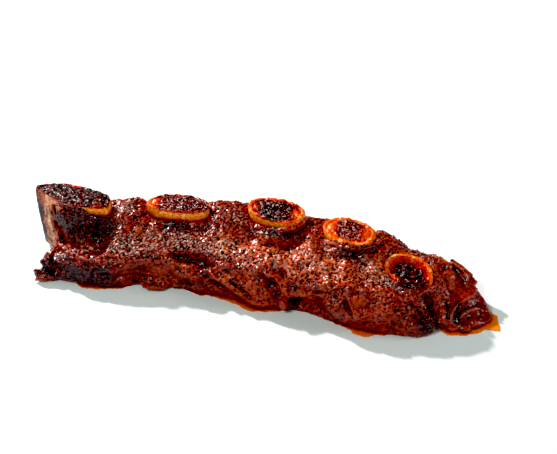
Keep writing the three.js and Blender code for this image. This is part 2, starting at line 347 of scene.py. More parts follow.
# %% [markdown]
# ## Meat: folds, scraps and torn ends
#
# A knife and a saw leave meat ragged. Thin folds lie along the front, scraps hang on, and at the right
# end the meat is torn into slabs and curls up into a thin lip. Such shapes have undercuts, and a relief
# can't make an undercut. So they are modelled as simple solids first, rods that follow a line, lumps and
# slabs, and a voxel remesh fuses everything that touches into one skin. All of them are given in
# millimetres.

# %% Folds
# A fold is a line, then its radius at the start and at the end. It is laid down on the meat and sinks in
# by half, so its line needs to be only nearly right.
FOLDS = [
    ([(-48, -16.6, 20.4), (-43.7, -17.5, 18.5), (-40.8, -18.6, 18.5), (-35.7, -19.2, 18.1)], 1.2, 1.4),
    ([(-35.7, -19.2, 18.1), (-32.3, -19.7, 17), (-27.7, -20.1, 12.9)], 1.3, 1.0),
    ([(-25.7, -16.4, 18.3), (-24.6, -18.4, 17.1), (-21, -20.5, 14.6), (-15.3, -21.5, 12.3)], 1.2, 1.1),
    ([(-15.3, -21.5, 12.3), (-9.8, -23.1, 10.4), (-5.1, -26, 10.2)], 1.1, 1.3),
    ([(-17.8, -20.3, 15.1), (-11.9, -21.7, 12.8), (-6.6, -24.4, 11.8), (-2.2, -25.8, 8.1)], 1.0, 1.2),
    ([(8.4, -20.2, 23.9), (12.7, -21.1, 22.9), (15.4, -20.6, 21.1), (18.1, -21.2, 18.2),
      (19.6, -22.8, 14.8)], 1.5, 1.2),
    ([(11.5, -19.4, 25.1), (16.8, -19.9, 22.4), (20.6, -21.1, 18.6), (21.8, -24.1, 13.5)], 1.2, 1.2),
    ([(27.1, -22.9, 12.5), (30.5, -23.5, 14.3), (36.1, -24.5, 17.6), (37.5, -23.8, 20.6)], 1.2, 1.4),
    ([(37.4, -23.4, 21.1), (41.5, -23.2, 23.6), (45.3, -22.9, 25.8), (47.8, -20.7, 26.8)], 1.4, 1.5),
    ([(47.8, -20.7, 26.8), (52.3, -23.6, 26.2), (54.2, -27.9, 25.1)], 1.5, 1.1),
    ([(56.6, -27.5, 24.7), (58.8, -29.5, 20.1), (61.1, -31.7, 17.1), (65.9, -33.7, 13.4)], 1.3, 1.5),
    ([(55.8, -26.7, 25.7), (59.5, -21.6, 25.7), (64, -17.7, 25.4), (69.4, -19.8, 25.9)], 1.2, 1.0),
    ([(71.9, -22.9, 25.1), (77.8, -23.6, 23.3), (83.9, -23.3, 23.9), (89.8, -23.3, 21.5)], 1.1, 1.0),
    ([(98.5, 17.8, 23.4), (103.9, 15.4, 24.2), (107.5, 15.6, 21), (112.6, 18, 16.6)], 1.3, 1.0),
    ([(100.2, 13.6, 23), (103.8, 12.1, 22.6), (107.8, 11.4, 20.6)], 1.1, 0.9),
    ([(101.3, 9, 22.9), (103.3, 3.1, 23.1), (105.3, -0.1, 20.9)], 1.2, 0.9),
    ([(-110, -20, 16), (-100, -24, 17.5), (-90, -25, 18)], 1.5, 1.2),
    ([(-78, -24, 19), (-70, -21, 19.5), (-61, -18, 19)], 1.3, 1.1),
]
print(f"{len(FOLDS)} folds")

# %% Strands
# A strand is the same, but it stays where its line says.
STRANDS = [
    ([(-121.8, -2.2, 37.2), (-118.6, -4.2, 39.2), (-114, -5.2, 39.8), (-109, -5.8, 39.6)], 1.8, 1.9),
    ([(-109, -5.8, 39.6), (-105, -6, 37.6), (-100.5, -6.4, 35.6), (-95, -6, 34.4)], 1.9, 1.7),
    ([(-124.6, -1.6, 34.5), (-125, -1.8, 29), (-125.6, -1.9, 24)], 1.9, 1.9),
    ([(-125.6, -1.9, 24), (-124, -3.4, 20.5), (-121.6, -4.5, 19)], 1.9, 1.7),
    ([(-121.6, -4.5, 19), (-121.4, -5, 15.5), (-121.5, -6, 12)], 1.8, 2.2),
    ([(-4.5, 11, 31.5), (0.5, 8.6, 31.8), (6, 7.4, 32.4), (11, 7, 33.4)], 2.3, 2.4),
    ([(11, 7, 33.4), (15, 7, 35), (19, 8.6, 36), (22.6, 12.6, 36.4), (24, 17, 36.6)], 2.4, 2.2),
    ([(40, 5.4, 32), (43.5, 2, 33.6), (48, 0, 34.8), (53, -1, 35.2)], 2.4, 2.6),
    ([(53, -1, 35.2), (58, -0.6, 35.2), (63, 1.4, 35), (67, 5.4, 34.6), (68.4, 10, 34.4)], 2.6, 2.3),
    ([(73, -10, 28), (73.2, -3, 28.4), (75, 3.5, 28.6), (79, 8.6, 28.6), (85, 10.3, 28.6)], 2.0, 2.3),
    ([(85, 10.3, 28.6), (92, 9.2, 28.4), (98, 6, 27.6), (102.5, 1, 26.4)], 2.3, 2.0),
    ([(125.3, 0.4, 11.6), (121.6, -3.6, 11.8), (118, -7.7, 11.4), (116, -12.6, 10.6)], 0.9, 0.8),
    ([(116, -12.6, 10.6), (115, -16.3, 8.6), (115.1, -18.2, 6), (117.6, -18.6, 4.2),
      (123, -16.6, 1)], 0.8, 0.8),
    ([(119.6, -12.7, 6.2), (123.9, -7.5, 7), (127.6, -4.2, 6.8), (130.4, -2.4, 5)], 1.7, 1.4),
    ([(-121.5, -16, 12), (-125.2, -17, 11.6), (-126.2, -19.5, 10)], 1.5, 0.9),
    ([(-121.7, -22, 11), (-125.6, -22, 11), (-127, -23, 8.6)], 1.4, 0.9),
    ([(-123.3, -27, 7), (-127.5, -28, 6.6), (-130, -28.6, 6.4)], 1.8, 1.0),
    ([(-122.6, -30.4, 3.4), (-126.4, -31, 3), (-128, -30.6, 1.8)], 1.8, 1.2),
]
print(f"{len(STRANDS)} strands")

# %% Lumps and slabs
# A lump is its middle, its three radii and its turn about the upright axis, in degrees.
LUMPS = [
    ((-122.6, -23.6, 9.4), (4, 3.6, 3), 0),
    ((-122, -18.6, 10), (3.4, 3.4, 3), 0),
    ((-70.4, -7.4, 31.8), (2.9, 2.4, 2.6), 0),
    ((1.2, 1.6, 28.8), (3.2, 2.4, 2.8), 0),
    ((20.6, -26.4, 8), (2.7, 2.4, 4.4), 0),
    ((54.6, -30.8, 13.8), (5, 2.6, 6.5), 15),
    ((64, -27.6, 19.3), (6, 3, 5.5), 0),
    ((8, 5.8, 28.4), (12, 4.8, 5), -4),
    ((49.6, -1.6, 29.6), (9.6, 4.6, 5.2), -8),
    ((66.4, -5.8, 32.2), (2.4, 1.6, 1.5), 0),
    ((46.4, 0.4, 32.8), (1.8, 1.6, 1.3), 0),
    ((105, 14.5, 20.5), (7, 3.6, 3), -18),
    ((108.4, 9, 16.6), (6.4, 6.4, 4.4), -20),
    ((123, -16.6, 1.4), (4.2, 2.4, 2.4), 0),
]
# A slab is torn off square: its middle, its half sizes and its turns about x, y and z in degrees.
SLABS = [
    ((113.6, 17.6, 18.8), (4.6, 1.4, 1.0), (8, 10, -28)),
    ((118.6, 15.2, 17), (5.0, 1.5, 1.0), (14, 14, -32)),
    ((122, 12, 14.6), (4.8, 1.8, 1.1), (18, 16, -36)),
    ((123, 8, 12.6), (4.4, 1.8, 1.2), (22, 16, -40)),
    ((122.8, 4.2, 11.8), (4.0, 2, 1.3), (18, 12, -28)),
]
print(f"{len(LUMPS)} lumps and {len(SLABS)} slabs")

# %% Helpers that build them
# The balls of a rod lie this share of its radius apart.
ROD_STEP = 0.6
# Each corner of a fold's line becomes this many points before it is laid down.
FOLD_POINTS = 4


def add_ball(shape, centre, radii, turn=0.0, detail=2):
    """Adds a ball or an ellipsoid to a shape, in millimetres."""
    place = Matrix.LocRotScale(Vector(centre) * MM, Euler((0, 0, math.radians(turn))), Vector(radii) * MM)
    bmesh.ops.create_icosphere(shape, subdivisions=detail, radius=1, matrix=place)


def add_rod(shape, line, start, end):
    """Adds a rod to a shape, as a row of balls that overlap."""
    line = np.array(line, float)
    lengths = np.linalg.norm(np.diff(line, axis=0), axis=1)
    marks = np.concatenate([[0], np.cumsum(lengths)])
    count = int(marks[-1] / (ROD_STEP * min(start, end))) + 2
    for mark in np.linspace(0, marks[-1], count):
        centre = [np.interp(mark, marks, line[:, axis]) for axis in range(3)]
        radius = start + (end - start) * mark / marks[-1]
        add_ball(shape, centre, (radius, radius, radius), detail=1)


def add_slab(shape, centre, halves, turns):
    """Adds a flat block to a shape."""
    turned = Euler([math.radians(t) for t in turns])
    place = Matrix.LocRotScale(Vector(centre) * MM, turned, Vector(halves) * MM)
    bmesh.ops.create_cube(shape, size=2, matrix=place)


def lie_on(mesh, line):
    """A line's points, moved to the nearest places on a mesh. The line is in millimetres."""
    ground = search_tree(mesh)
    marks = np.linspace(0, len(line) - 1, FOLD_POINTS * len(line))
    dense = [[np.interp(m, range(len(line)), [p[axis] for p in line]) for axis in range(3)] for m in marks]
    return [tuple(ground.find_nearest(Vector(p) * MM)[0] / MM) for p in dense]


# %% Fuse them with the strip
# The first net only has to take the solid's facets away. The second one has to carry the bark.
BODY_SQUARE = 1.1 * MM
SKIN_SQUARE = 0.6 * MM

meat = copy_solid("meat", "roast_meat")
even_skin(meat, BODY_SQUARE, soften=6)
shape = bmesh.new()
shape.from_mesh(meat.data)
for line, start, end in FOLDS:
    add_rod(shape, lie_on(meat.data, line), start, end)
for line, start, end in STRANDS:
    add_rod(shape, line, start, end)
for centre, radii, turn in LUMPS:
    add_ball(shape, centre, radii, turn)
for centre, halves, turns in SLABS:
    add_slab(shape, centre, halves, turns)
shape.to_mesh(meat.data)
shape.free()
even_skin(meat, SKIN_SQUARE, soften=2)

# %% [markdown]
# ## Meat: the shape of the bark
#
# Roasting dries the upper side of the meat into a bark: a crust of spice, sugar and drying fibres that
# cracks into crags a few millimetres wide, with grains on top of them. The front edge keeps more juice
# and stays in smooth folds. So there are two reliefs, and a mask called `bark` says how much of each a
# point gets. Muscle fibres add fine streaks, which run slantwise over the strip.

# %% Creases
# Each crease is a line on the meat, with its depth and half width.
CREASES = [
    ([(-49, -12.6, 22), (-46, -13.4, 21.3), (-39.4, -14, 20.3), (-32.9, -14, 19),
      (-26.6, -15.4, 18.6)], 2.2, 2.4),
    ([(-27.3, -19.9, 15.1), (-23, -19.5, 11), (-18.1, -19.7, 7.8)], 1.4, 1.8),
    ([(-12, -20.8, 14.1), (-4.7, -24.1, 12.6), (0, -25.1, 9.1)], 1.2, 1.2),
    ([(4.2, -20.7, 21.2), (9.3, -20.5, 18.5), (14, -19.7, 14), (14.6, -21.3, 10.5)], 1.1, 2.4),
    ([(23.7, -21.2, 6.7), (28.5, -19.8, 4.5), (33.5, -21.6, 3.9)], 0.7, 2.6),
    ([(39.5, -24.9, 18.7), (45.7, -26.8, 21.4), (50.7, -28, 20.6)], 1.4, 1.6),
    ([(56.8, -30.6, 19.1), (59.6, -32.8, 15.4), (62.1, -33.5, 10.9)], 1.6, 1.3),
    ([(100.8, -15, 20), (103.4, -16, 13.1), (106.6, -19.5, 9.8), (109.5, -21, 3)], 3.2, 2.2),
    ([(93.1, -22.7, 19.1), (97.3, -23.3, 15.9), (102, -25.5, 13)], 1.3, 1.2),
    ([(118.5, -7.2, 9.6), (117.1, -13, 8.4), (118.5, -15.4, 5)], 2.0, 1.7),
    ([(-113.5, -10, 26.2), (-111.3, -9.6, 20.6), (-110.5, -10, 17.9)], 2.0, 1.5),
    ([(-70.2, -21.4, 3.4), (-61.8, -23, 4.7), (-53.6, -22.2, 5.1)], 1.2, 1.3),
    ([(103.9, 5.2, 22), (108.9, 3, 18.8), (112.9, -0.9, 14.2)], 1.2, 1.4),
    ([(108.1, -7.1, 18), (111.9, -8.6, 11.3), (113.1, -16.3, 8.2)], 1.2, 1.5),
    ([(-92, -27, 12), (-80, -26.6, 9), (-72, -23.6, 9)], 0.9, 2.0),
]
places, normals = points_of(meat.data)
for line, depth, width in CREASES:
    places -= normals * (depth * np.exp(-(away_from_line(places, line) / width) ** 2))[:, None]
print(f"{len(CREASES)} creases")

# %% Where the bark lies
# It lies on what faces up. These are steep places that are as grainy as the top.
GRAINY = [
    ((-106, -8, 27), (20, 6, 14), 1.5),
    ((-114, -24, 12), (12, 8, 7), 0.9),
    ((60, -1, 31), (14, 8, 7), 1.2),
    ((104, -26, 12), (8, 6, 8), 0.7),
]
# Flat meat gets all of the bark, and what faces sideways or down gets next to none. These are the
# upward parts of the normals at which it begins and is full. Its border wanders in bays this wide.
BARK_FROM = -0.05
BARK_FULL = 0.6
BAY_SIZE = 11
# Between these places along the strip the bark gives way to torn, wet meat, which loses this share of it.
TORN_FROM = 103
TORN_ALL = 112
LOST_WHERE_TORN = 0.75
LEAST_BARK = 0.1

bark = step(normals[:, 2], BARK_FROM, BARK_FULL) + 0.2 * field(places, BAY_SIZE, 3.1)
bark = np.clip(bark, 0, 1)
torn = step(places[:, 0], TORN_FROM, TORN_ALL)
bark *= 1 - LOST_WHERE_TORN * torn
bark = np.maximum(bark, np.clip(near(places, GRAINY), 0, 1))
bark = LEAST_BARK + (1 - LEAST_BARK) * bark
print(f"bark over {bark.mean():.0%} of the meat")

# %% Crags, fibres and pits
# Sizes of the patterns, in millimetres. Pits come in beds.
CRAG_SIZE = 7.5
CRACK_SIZE = 3.2
LOBE_SIZE = 5.0
GRAIN_SIZE = 2.4
PIT_SIZE = 1.5
PIT_BED_SIZE = 5.5
# Lobes lie along the strip. Fibres are drawn out more, and run this many degrees from its length.
LOBE_STRETCH = (1.5, 1, 0.8)
FIBRE_SIZE = 1.6
FIBRE_STRETCH = (4, 1.2, 1.2)
FIBRE_SLANT = 40
# The foot of the meat stays flat, and the relief grows to its full height above it.
FOOT_FLAT = 0.2
FOOT_ENDS = 2.5

crags = ridges(places, CRAG_SIZE)
cracks = ridges(places, CRACK_SIZE, seed=7.7, octaves=2)
lobes = field(places, LOBE_SIZE, 1.1, stretch=LOBE_STRETCH)
slant = math.radians(FIBRE_SLANT)
slantwise = np.array((
    (math.cos(slant), -math.sin(slant), 0),
    (math.sin(slant), math.cos(slant), 0),
    (0, 0, 1),
))
fibres = field(places @ slantwise, FIBRE_SIZE, 4.2, stretch=FIBRE_STRETCH)
grains = field(places, GRAIN_SIZE, 2.3)
pits = step(field(places, PIT_SIZE, 9.9) + 0.35 * field(places, PIT_BED_SIZE, 6.1), 0.1, 0.4)
# Each pattern's height in millimetres: on juicy meat, and what the bark adds to it or takes off.
relief = (
    (0.7 + 0.3 * bark) * (crags - 0.5)
    + (0.4 + 0.35 * bark) * (cracks - 0.5)
    + 0.35 * (1 - bark) * lobes
    + (0.35 - 0.05 * bark) * fibres
    + (0.1 + 0.3 * bark) * grains
    - (0.1 + 0.4 * bark) * pits
) * (1 - 0.8 * torn)
off_table = step(places[:, 2], FOOT_FLAT, FOOT_ENDS)
set_points(meat.data, places + normals * (relief * off_table)[:, None])
places, normals = points_of(meat.data)
places[:, 2] = np.maximum(places[:, 2], 0)
set_points(meat.data, places)
print(f"relief from {relief.min():.2f} to {relief.max():.2f} mm")

# %% [markdown]
# ## Meat: where it is charred, wet or fat, and where shade and highlights are painted
#
# Part of the colour of the bark is its own: char, toasted red patches, and melted fat in orange patches.
# Part is painted light: painted shade darkens the creases, the hollows and the places beside and below the
# bones, and painted highlights lighten the crests and streak the places where the meat is wet. The masks
# for that are worked out here from the shape, and from a few spots that are given, and kept on the mesh
# as numbers. A spot is a centre, a reach along each axis and a weight, in millimetres.

# %% Charred spots and spots of painted shade
# A few spots are real char: on the front of the left lobe and on the crest between the first two ribs. The
# others are painted shade where shade falls: in the recess beside the first rib, beneath the rims of the
# other ribs, in creases and hollows along the front and at the torn end, and in front of the last rib.
CHAR_AND_SHADE_SPOTS = [
    ((-106, -7, 31), (23, 6.4, 11), 2.0),
    ((-112, -26, 10), (18, 9, 8), 1.8),
    ((-92, -26, 13), (20, 5, 5), 1.2),
    ((-82, 4, 37), (11, 8, 4), 0.8),
    ((-50, -1, 33), (13, 4, 4), 1.2),
    ((-57, -3, 32), (5, 3, 3), 1.2),
    ((10, 6, 31.5), (14, 5, 4.5), 1.4),
    ((55, -3.4, 32.6), (15, 5, 5), 1.2),
    ((-97, -27, 7), (22, 7, 7), 1.6),
    ((62, -4, 30), (8, 4, 4), 0.6),
    ((88, -17, 25), (10, 3, 4), 1.1),
    ((-37, -13.6, 20), (12, 3, 4), 0.9),
    ((-27, -18.6, 15), (8, 3, 4), 0.9),
    ((-16, -21, 10), (7, 3, 4), 0.7),
    ((10, -22, 10), (7, 4, 5), 0.2),
    ((88, -28, 12), (14, 6, 6), 0.4),
    ((30, -24, 5.5), (9, 5, 5), 0.1),
    ((50, -32, 13), (12, 5, 7), 0.7),
    ((103, -27, 9.5), (11, 6, 9), 1.3),
    ((105, -18, 9.5), (3, 4, 8), 1.0),
    ((118.3, -12, 7), (3, 6, 4), 0.8),
    ((120, 12, 16), (7, 6, 5), 0.55),
    ((-32, 0, 33), (14, 4, 4), 0.8),
    ((24, 4, 34), (6, 4, 4), 0.6),
    ((34, -0.4, 32), (12, 5, 4), 0.5),
    ((-17, 12, 37), (10, 5, 4), 0.8),
]

# %% Spots of fat
FATTY = [
    ((-55, -19, 13), (9, 5, 5), 0.5),
    ((-78, -26, 7), (12, 5, 4), 0.3),
    ((1.2, 1.6, 29), (3.4, 3, 3), 1.2),
    ((5, -1, 30), (10, 5, 4), 0.7),
    ((28, -6, 30), (13, 7, 5), 0.45),
    ((46, -13, 29), (15, 7, 6), 0.35),
    ((-70.4, -7.6, 32), (3.2, 3, 3), 1.0),
    ((-10, 4, 32), (12, 2.4, 3), 0.9),
    ((-43, -18, 18.6), (8, 2, 1.8), 0.8),
    ((31, -23.4, 14), (6, 2.4, 3), 0.9),
    ((43.5, -23.3, 25), (6, 2.4, 2.6), 0.7),
    ((63, -29.4, 19), (6, 3.4, 6), 0.8),
    ((72.5, -6.6, 32), (4, 7, 3), 0.8),
    ((101, 16.4, 24.6), (4, 2, 2), 1.2),
    ((106, 16, 22), (5, 1.8, 2), 1.4),
    ((111, 15.4, 18.6), (4, 1.8, 2), 1.2),
    ((103, 5, 23), (3, 8, 3), 1.1),
    ((127, -4.6, 6), (6, 4, 3), 0.4),
    ((84, -29, 14.6), (12, 6, 8), 0.25),
]

# %% Spots that are toasted a lighter red, and spots that shine and get painted highlights
TOASTED = [
    ((8, -5, 28), (18, 10, 8), 1.5),
    ((30, -9, 29), (18, 12, 8), 1.5),
    ((112, 4, 14), (10, 14, 10), 0.9),
    ((58, -14, 28), (24, 12, 8), 1.0),
    ((-12, -5, 29), (18, 10, 8), 1.1),
    ((-60, -8, 27), (24, 8, 8), 0.3),
    ((62, -27, 18), (18, 8, 10), 0.5),
    ((-10, -22, 14), (26, 6, 8), 0.5),
]
# Where glaze and fat lie thickest, so that the coat is glossiest there. The same spots lay the pale
# streaks of painted highlight in the colour.
WET_AND_GLINT_SPOTS = [
    ((-76, -16, 25), (17, 9, 7), 1.0),
    ((-104, -15, 20), (16, 5, 4), 0.8),
    ((-50, -8, 27), (22, 7, 5), 1.1),
    ((-22, -8, 28), (22, 7, 5), 1.0),
    ((-17, 12, 37), (10, 6, 5), 0.9),
    ((-82, 5, 37), (10, 8, 5), 0.8),
    ((14, -8, 28), (16, 8, 5), 0.6),
    ((38, -8, 30), (14, 9, 6), 0.7),
    ((74, -16, 26), (9, 6, 6), 1.0),
    ((66, -10, 30), (10, 6, 5), 0.7),
    ((84, 4, 27), (9, 8, 6), 0.7),
]

# %% Masks of the meat
# A point is compared with its surroundings, which grow by one square of the skin in each round. Hollows
# as wide as a crag take many rounds, and gaps between grains take few.
CRAG_ROUNDS = 14
GRAIN_ROUNDS = 3
# A point this far below or above its surroundings, in millimetres, is as hollow or raised as counts.
CRAG_DEPTH = 1.2
GRAIN_DEPTH = 0.25
# The foot is wet up to these heights: all of it, and none.
FOOT_WET = 0.4
FOOT_DRY = 3.2

hollow = hollowness(meat.data, CRAG_ROUNDS)
fine_hollow = hollowness(meat.data, GRAIN_ROUNDS)
wet = np.clip(1.2 * near(places, WET_AND_GLINT_SPOTS), 0, 1)
# The char mask holds real char and painted shade.
charred = np.clip(near(places, CHAR_AND_SHADE_SPOTS), 0, 1)
# Spice keeps to the bark and sticks to the glaze. The torn end and the char have little of it. The
# same mask lays the pale streaks of painted highlight, which gather where the meat is wet.
pepper_and_glints = (0.05 + 0.2 * bark + 0.9 * wet) * (1 - 0.75 * torn) * (1 - 0.7 * charred)
keep(meat.data, "bark", bark)
keep(meat.data, "hollow", np.clip(0.5 + hollow / (2 * CRAG_DEPTH), 0, 1))
keep(meat.data, "grain", np.clip(0.5 + fine_hollow / (2 * GRAIN_DEPTH), 0, 1))
keep(meat.data, "pits", pits)
keep(meat.data, "charred", charred)
keep(meat.data, "fatty", np.clip(near(places, FATTY), 0, 1))
keep(meat.data, "toasted", np.clip(near(places, TOASTED), 0, 1))
keep(meat.data, "wet", np.maximum(wet, 0.8 * torn))
keep(meat.data, "pepper_and_glints", np.clip(pepper_and_glints, 0, 1))
keep(meat.data, "foot", 1 - step(places[:, 2], FOOT_WET, FOOT_DRY))
print(f"hollows up to {hollow.max():.2f} mm deep, crests up to {-hollow.min():.2f} mm high")

# %% [markdown]
# ## Roast meat: the material
#
# The meat is browned protein and caramelised sugar under a film of fat and glaze. The brown part is
# rough, and keeps next to no gloss of its own. The film over it is the shader's coat, clear and nearly
# smooth, and the lit sparks come from that. They show as points and not as a sheen, because the grains
# below turn the film every way. Pale streaks in the colour add painted highlights among them.
#
# The colour is laid on in layers: browning first, then painted shade in the hollows and painted highlight
# on the crests, char with painted shade, fat, and spice on top with pale streaks of painted highlight.
# Each layer is one colour with a mask that says where it lies.
# The same could be painted by hand on an image, but masks follow the relief when it changes.

# %% Patterns and layers
# What shines is hard caramel and fat. Caramel's index is about 1.55, and a little more gives the sparks
# their strength.
GLAZE_IOR = 1.6


def mottling(tree, size_mm, detail=3.0, roughness=0.6):
    """A pattern over a whole piece, with lumps of a real size."""
    place = add(tree, "TexCoord").outputs["Object"]
    made = add(tree, "TexNoise", {"Vector": place, "Scale": 1 / (size_mm * MM), "Detail": detail,
                                  "Roughness": roughness})
    return made.outputs["Fac"]


def weighted(tree, *terms):
    """The sum of some values, each with its weight."""
    total = 0.0
    for value, weight in terms:
        total = add(tree, "Math", {"Value": value, "Value_001": weight, "Value_002": total},
                    operation="MULTIPLY_ADD").outputs[0]
    return total


def layer(tree, under, over, mask, low=0.0, high=1.0, most=1.0, within=None):
    """Lays one colour over another. It is missing where the mask is at low, and covers by `most` where it
    is at high. A second mask can keep it within a place."""
    share = add(tree, "MapRange", {"Value": mask, "From Min": low, "From Max": high,
                                   "To Max": most}).outputs[0]
    if within is not None:
        share = add(tree, "Math", {"Value": share, "Value_001": within}, operation="MULTIPLY",
                    use_clamp=True).outputs[0]
    mixed = add(tree, "Mix", {"Factor_Float": share, "A_Color": under, "B_Color": over}, data_type="RGBA")
    return mixed.outputs["Result_Color"] if "Result_Color" in mixed.outputs else mixed.outputs[2]


# %% Glazed, charred beef bark: browning
# Sizes in millimetres. Ground pepper and muscle fibres are about half a millimetre thick. Here they are
# 0.8 and 0.9, because anything finer wouldn't show.
BLOTCH = 12
JUICE = 6
PATCH = 3.2
SWELL = 2.0
FLECK = 1.7
PEPPER = 0.8
FIBRE = 0.9

bark_skin, tree, shader = new_material("glazed charred beef bark")
read = {name: add(tree, "Attribute", attribute_name=name).outputs["Fac"] for name in (
    "bark", "hollow", "grain", "pits", "charred", "fatty", "foot", "toasted", "wet", "pepper_and_glints")}
blotches = mottling(tree, BLOTCH)
patches = mottling(tree, PATCH, detail=4, roughness=0.65)
flecks = mottling(tree, FLECK, detail=2)
peppery = mottling(tree, PEPPER, detail=1)
browning = weighted(tree, (blotches, 0.38), (patches, 0.4), (flecks, 0.22), (read["toasted"], 0.17))
colour = set_ramp(add(tree, "ValToRGB", {"Fac": browning}), [
    (0.37, "16040a"), (0.43, "440a10"), (0.49, "821816"), (0.56, "ae2e22"), (0.66, "e05c34"),
])
# Meat without bark is maroon where its juice has dried.
juices = mottling(tree, JUICE)
bare = weighted(tree, (read["bark"], -1.0), (1.0, 1.0))
colour = layer(tree, colour, linear("3a0f14"), juices, 0.42, 0.58, 0.9, within=bare)

# %% Glazed, charred beef bark: painted shade in hollows, painted highlight on crests
# Painted shade: the hollows, the gaps between grains and the pits are darkened where shade falls in them.
# Painted highlight: the crests are lightened to bright brick red where light catches them.
colour = layer(tree, colour, linear("240a09"), read["hollow"], 0.5, 0.85)
colour = layer(tree, colour, linear("c0441c"), read["hollow"], 0.5, 0.15, 0.4)
colour = layer(tree, colour, linear("120505"), read["grain"], 0.55, 0.9, 0.8)
colour = layer(tree, colour, linear("c8542c"), read["grain"], 0.5, 0.2, 0.4)
sunk = add(tree, "Math", {"Value": read["pits"], "Value_001": read["bark"]}, operation="MULTIPLY")
colour = layer(tree, colour, linear("140506"), sunk.outputs[0], 0.1, 0.9, 0.85)

# %% Glazed, charred beef bark: char and fat
# Char breaks up into patches at its edge. The lighter purple-grey of the charcoal is partly ash and partly
# painted sheen. The same mask also lays painted shade in these dark colours.
unevenly = weighted(tree, (patches, 1.6), (read["charred"], 1.0), (1.0, -0.8))
char_and_shade_share = add(tree, "Math", {"Value": unevenly, "Value_001": read["charred"]}, operation="MULTIPLY",
                 use_clamp=True).outputs[0]
charcoal_and_sheen = set_ramp(add(tree, "ValToRGB", {"Fac": weighted(tree, (flecks, 0.5), (patches, 0.5))}), [
    (0.42, "0e0508"), (0.51, "2a1018"), (0.62, "643440"),
])
colour = layer(tree, colour, charcoal_and_sheen, char_and_shade_share)
# Fat is orange, and palest where it lies thickest.
unevenly = weighted(tree, (patches, -1.2), (read["fatty"], 1.0), (1.0, 0.6))
fat_share = add(tree, "Math", {"Value": unevenly, "Value_001": read["fatty"]}, operation="MULTIPLY",
                use_clamp=True).outputs[0]
fat = layer(tree, linear("cc5218"), linear("f0905c"), read["fatty"], 0.7, 1.0)
colour = layer(tree, colour, fat, fat_share)
# The foot stands in oil, which tints it.
colour = layer(tree, colour, linear("74200c"), read["foot"], most=0.7)

# %% Glazed, charred beef bark: pepper and painted highlights
# Pepper is black. Pale streaks along the fibres are painted highlights, palest where the glaze is thick. A
# mapping of type TEXTURE turns the streaks and then stretches them.
colour = layer(tree, colour, linear("100406"), peppery, 0.44, 0.37, 0.85, within=read["pepper_and_glints"])
along_fibres = add(tree, "Mapping", {
    "Vector": add(tree, "TexCoord").outputs["Object"], "Rotation": (0, 0, math.radians(FIBRE_SLANT)),
    "Scale": (2.4, 1, 1)}, vector_type="TEXTURE").outputs[0]
streaks = add(tree, "TexNoise", {"Vector": along_fibres, "Scale": 1 / (FIBRE * MM), "Detail": 1})
painted_glints = layer(tree, linear("cc6a54"), linear("ffc8b4"), read["wet"], 0.2, 0.9)
colour = layer(tree, colour, painted_glints, streaks.outputs["Fac"], 0.57, 0.62, within=read["pepper_and_glints"])
tree.links.new(colour, shader.inputs["Base Color"])

# %% Glazed, charred beef bark: gloss and grit
# Dry meat is rough from 0.3 to 0.5. The film is thickest where the meat is wet, and next on the bark.
dryness = add(tree, "MapRange", {"Value": flecks, "From Min": 0.35, "From Max": 0.65, "To Min": 0.3,
                                 "To Max": 0.5})
film = weighted(tree, (read["wet"], 0.55), (read["bark"], 0.15), (1.0, 0.35))
grit = weighted(tree, (mottling(tree, SWELL, detail=0), 1.0), (peppery, 0.3))
bump = add(tree, "Bump", {"Height": grit, "Distance": 0.5 * MM})
tree.links.new(dryness.outputs[0], shader.inputs["Roughness"])
tree.links.new(film, shader.inputs["Coat Weight"])
tree.links.new(bump.outputs["Normal"], shader.inputs["Normal"])
tree.links.new(bump.outputs["Normal"], shader.inputs["Coat Normal"])
shader.inputs["Coat Roughness"].default_value = 0.2
shader.inputs["Coat IOR"].default_value = GLAZE_IOR
shader.inputs["Specular IOR Level"].default_value = 0.1
meat.data.materials.append(bark_skin)
print(f"{bark_skin.name}: {len(tree.nodes)} nodes")

# %% [markdown]
# ## Bones: sawn tops
#
# A short rib is sawn, so its end is a flat oval: a ring of hard bone round a spongy core. Spongy bone is
# full of marrow fat. It fries, chars first and creeps over the ring, so the top is one rough black crust
# with bare orange bone only at the edge, more on some ribs than on others. Below the edge the hard bone
# roasts to a golden wall with chips and stains. The ring and the core keep their places. The same crust
# is laid on both, so no groove shows between them.

# %% How each rib was roasted
# For each rib: how far the char creeps over its ring and how wide its red edge is, both in millimetres,
# how brown its core is rather than black, how many pale specks lie on it, which are partly ash and partly
# painted highlight, and how far its core is lifted towards the top of the ring, in millimetres.
ROASTED = {
    "1": (5.0, 1.4, 0.05, 0.4, 0.2),
    "2": (2.6, 1.4, 0.3, 0.9, 0.6),
    "3": (1.2, 1.4, 0.0, 0.8, 0.8),
    "4": (-0.7, 1.8, 0.35, 0.9, 0.8),
    "5": (-1.2, 3.6, 0.05, 0.3, 0.2),
}
# Places where the char spread further: a centre, a reach and a weight.
BURNT = [
    ((88, -16, 27), (11, 4.4, 6), 1.3),
    ((97, -13, 27), (5, 4, 4), 1.0),
    ((-40, 7, 39), (8, 6, 4), 0.7),
    ((5, 11, 39), (10, 2.6, 3), 0.9),
    ((48, 12, 38), (4, 3, 3), 0.5),
]
